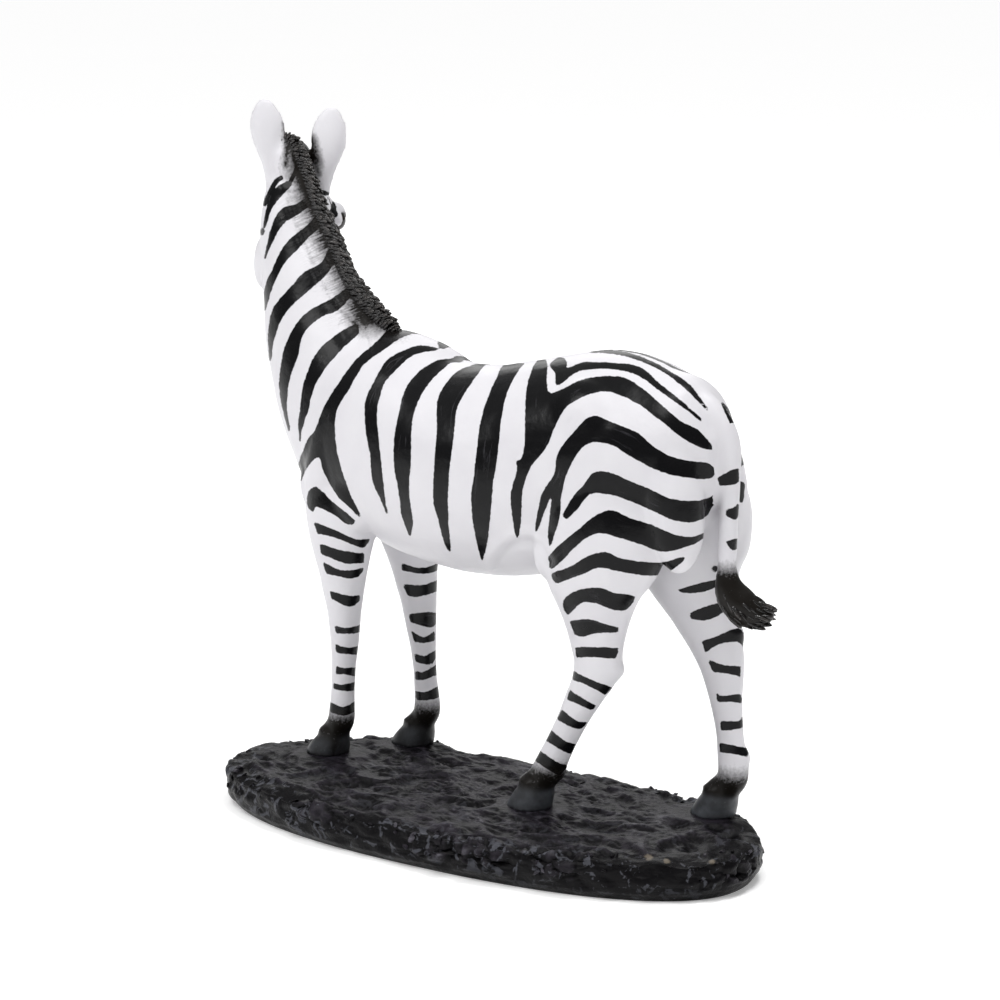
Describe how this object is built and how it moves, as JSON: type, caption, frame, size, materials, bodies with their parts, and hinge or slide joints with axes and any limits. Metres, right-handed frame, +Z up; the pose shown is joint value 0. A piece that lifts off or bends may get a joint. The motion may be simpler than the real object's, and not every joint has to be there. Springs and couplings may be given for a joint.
{
  "type": "zebra figurine",
  "caption": "Painted cast zebra standing on an oval rocky base, its head turned back to its right.",
  "frame": {"origin": "centre of the base's flat underside, on the surface that it stands on", "axes": "+Z up; the zebra's body points along -X; its left flank faces -Y and its head turns towards +Y"},
  "size_m": [0.3001, 0.1386, 0.3035],
  "materials": {
    "figure_paint": "satin",
    "base_paint": "satin"
  },
  "bodies": {
    "root": {"zebra_figure": "figure_paint", "rock_base": "base_paint"}
  },
  "joints": []
}
